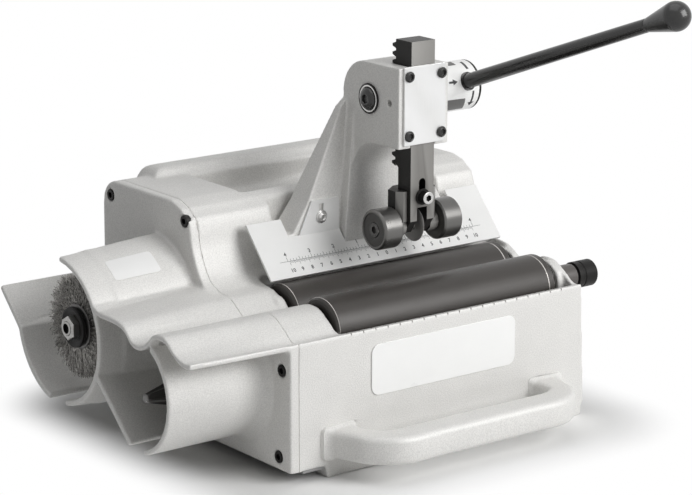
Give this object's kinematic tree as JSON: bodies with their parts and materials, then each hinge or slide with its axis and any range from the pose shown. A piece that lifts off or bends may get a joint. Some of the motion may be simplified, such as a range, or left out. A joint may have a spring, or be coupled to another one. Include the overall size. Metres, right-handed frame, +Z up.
{
  "type": "tube cutting machine",
  "caption": "Bench tube cutting and cleaning machine: two driven rollers under a rack-fed cutter column, with a guarded wire brush and reamer at one end.",
  "frame": {"origin": "on the floor under the middle of the machine as it stands, handle included", "axes": "+Z up, +Y to the rear, +X along the rollers to the right as the user stands in front"},
  "size_m": [0.4544, 0.484, 0.3992],
  "materials": {
    "cast_aluminium": "fine sand-cast, light warm grey",
    "bare_aluminium": "brushed plate",
    "black_steel": "black oxide, satin",
    "roller_black": "dark satin coating",
    "bright_steel": "machined",
    "spring_steel": "drawn wire",
    "white_enamel": "printed sheet",
    "black_plastic": "moulded",
    "grey_plastic": "moulded",
    "grey_motor": "painted motor case",
    "belt_rubber": "belt"
  },
  "bodies": {
    "machine": {"base_cover": "grey_plastic", "brush_bearing": "bright_steel", "cord_gland": "black_plastic", "cover_screw_1": "black_steel", "cover_screw_2": "black_steel", "cover_screw_3": "black_steel", "cover_screw_4": "black_steel", "cutter_column": "cast_aluminium", "end_screw_1": "black_steel", "end_screw_2": "black_steel", "end_screw_3": "black_steel", "end_screw_4": "black_steel", "front_bearing_left": "bright_steel", "front_bearing_right": "bright_steel", "front_handle": "cast_aluminium", "front_plate": "white_enamel", "front_roller_belt": "belt_rubber", "gear_motor": "grey_motor", "guard_plate": "white_enamel", "head_cover": "bare_aluminium", "main_belt": "belt_rubber", "main_housing": "cast_aluminium", "prep_end_casting": "cast_aluminium", "reamer_bearing": "bright_steel", "rear_bearing_left": "bright_steel", "rear_bearing_right": "bright_steel", "rear_roller_belt": "belt_rubber", "ruler_plate": "white_enamel", "ruler_screw": "bright_steel", "switch_bezel": "black_plastic"},
    "front_roller": {"front_roller": "roller_black", "brush_collar": "black_steel", "front_roller_pulley": "bare_aluminium"},
    "rear_roller": {"rear_roller": "roller_black", "rear_roller_pulley": "bare_aluminium"},
    "motor_output": {"drive_pulley": "bright_steel"},
    "brush_spindle": {"brush_spindle": "bright_steel", "wire_brush": "spring_steel", "brush_flange": "bright_steel", "brush_nut": "bright_steel"},
    "reamer_spindle": {"reamer_spindle": "bright_steel", "reamer_cone": "bright_steel"},
    "pinion": {"pinion_shaft": "black_steel", "pinion_washer": "black_steel", "pinion_screw": "black_steel"},
    "hub_bush": {"hub_bush": "bright_steel"},
    "feed_handle": {"handle_hub": "white_enamel", "handle_rod": "black_steel", "handle_knob": "black_plastic"},
    "rack": {"rack": "black_steel", "cutter_pin": "bright_steel"},
    "cutter_wheel": {"cutter_wheel": "bright_steel"},
    "carriage": {"carriage": "black_steel", "carriage_screw": "black_steel", "carriage_spring": "spring_steel", "guide_screw_left": "bright_steel", "guide_screw_right": "bright_steel"},
    "guide_roller_left": {"guide_roller_left": "black_steel"},
    "guide_roller_right": {"guide_roller_right": "black_steel"},
    "switch_rocker": {"switch_rocker": "grey_plastic"}
  },
  "joints": [
    {"name": "front_roller_spin", "type": "hinge", "parent": "machine", "child": "front_roller", "pos_m": [0.0468, -0.01313, 0.1158], "axis": [1, 0, 0], "continuous": true},
    {"name": "rear_roller_spin", "type": "hinge", "parent": "machine", "child": "rear_roller", "pos_m": [0.0468, 0.04187, 0.1158], "axis": [1, 0, 0], "continuous": true},
    {"name": "motor_output_spin", "type": "hinge", "parent": "machine", "child": "motor_output", "pos_m": [-0.1072, 0.17137, 0.136], "axis": [1, 0, 0], "continuous": true},
    {"name": "brush_spin", "type": "hinge", "parent": "machine", "child": "brush_spindle", "pos_m": [-0.2022, 0.14637, 0.1043], "axis": [1, 0, 0], "continuous": true},
    {"name": "reamer_spin", "type": "hinge", "parent": "machine", "child": "reamer_spindle", "pos_m": [-0.1532, 0.03137, 0.0715], "axis": [1, 0, 0], "continuous": true},
    {"name": "feed_turn", "type": "hinge", "parent": "machine", "child": "pinion", "pos_m": [0.0468, 0.04067, 0.2893], "axis": [1, 0, 0], "range_deg": [-100, 70]},
    {"name": "rack_slide", "type": "slide", "parent": "machine", "child": "rack", "axis": [0, 0, 1], "range_m": [-0.0182, 0.0259]},
    {"name": "hub_pull", "type": "slide", "parent": "pinion", "child": "hub_bush", "axis": [1, 0, 0], "range_m": [0, 0.008], "stiffness_N_per_m": 900, "springref_m": -0.004},
    {"name": "handle_index", "type": "hinge", "parent": "hub_bush", "child": "feed_handle", "pos_m": [0.1118, 0.04067, 0.2893], "axis": [1, 0, 0], "range_deg": [-60, 0]},
    {"name": "carriage_slide", "type": "slide", "parent": "rack", "child": "carriage", "axis": [0, 0, 1], "range_m": [0, 0.008], "stiffness_N_per_m": 1500, "springref_m": -0.006, "deforming": ["carriage_spring"]},
    {"name": "cutter_wheel_spin", "type": "hinge", "parent": "rack", "child": "cutter_wheel", "pos_m": [0.0468, 0.01437, 0.1823], "axis": [1, 0, 0], "continuous": true},
    {"name": "guide_roller_left_spin", "type": "hinge", "parent": "carriage", "child": "guide_roller_left", "pos_m": [0.0148, 0.01437, 0.1823], "axis": [1, 0, 0], "continuous": true},
    {"name": "guide_roller_right_spin", "type": "hinge", "parent": "carriage", "child": "guide_roller_right", "pos_m": [0.0788, 0.01437, 0.1823], "axis": [1, 0, 0], "continuous": true},
    {"name": "switch_rock", "type": "hinge", "parent": "machine", "child": "switch_rocker", "pos_m": [0.1878, 0.17137, 0.07], "axis": [0, 1, 0], "range_deg": [0, 20]}
  ],
  "couplings": [
    {"joint": "rear_roller_spin", "follows": "front_roller_spin", "ratio": 1},
    {"joint": "reamer_spin", "follows": "front_roller_spin", "ratio": 1},
    {"joint": "brush_spin", "follows": "front_roller_spin", "ratio": 0.8},
    {"joint": "motor_output_spin", "follows": "front_roller_spin", "ratio": 1.1429},
    {"joint": "feed_turn", "follows": "rack_slide", "rad_per_m": -67.128}
  ]
}
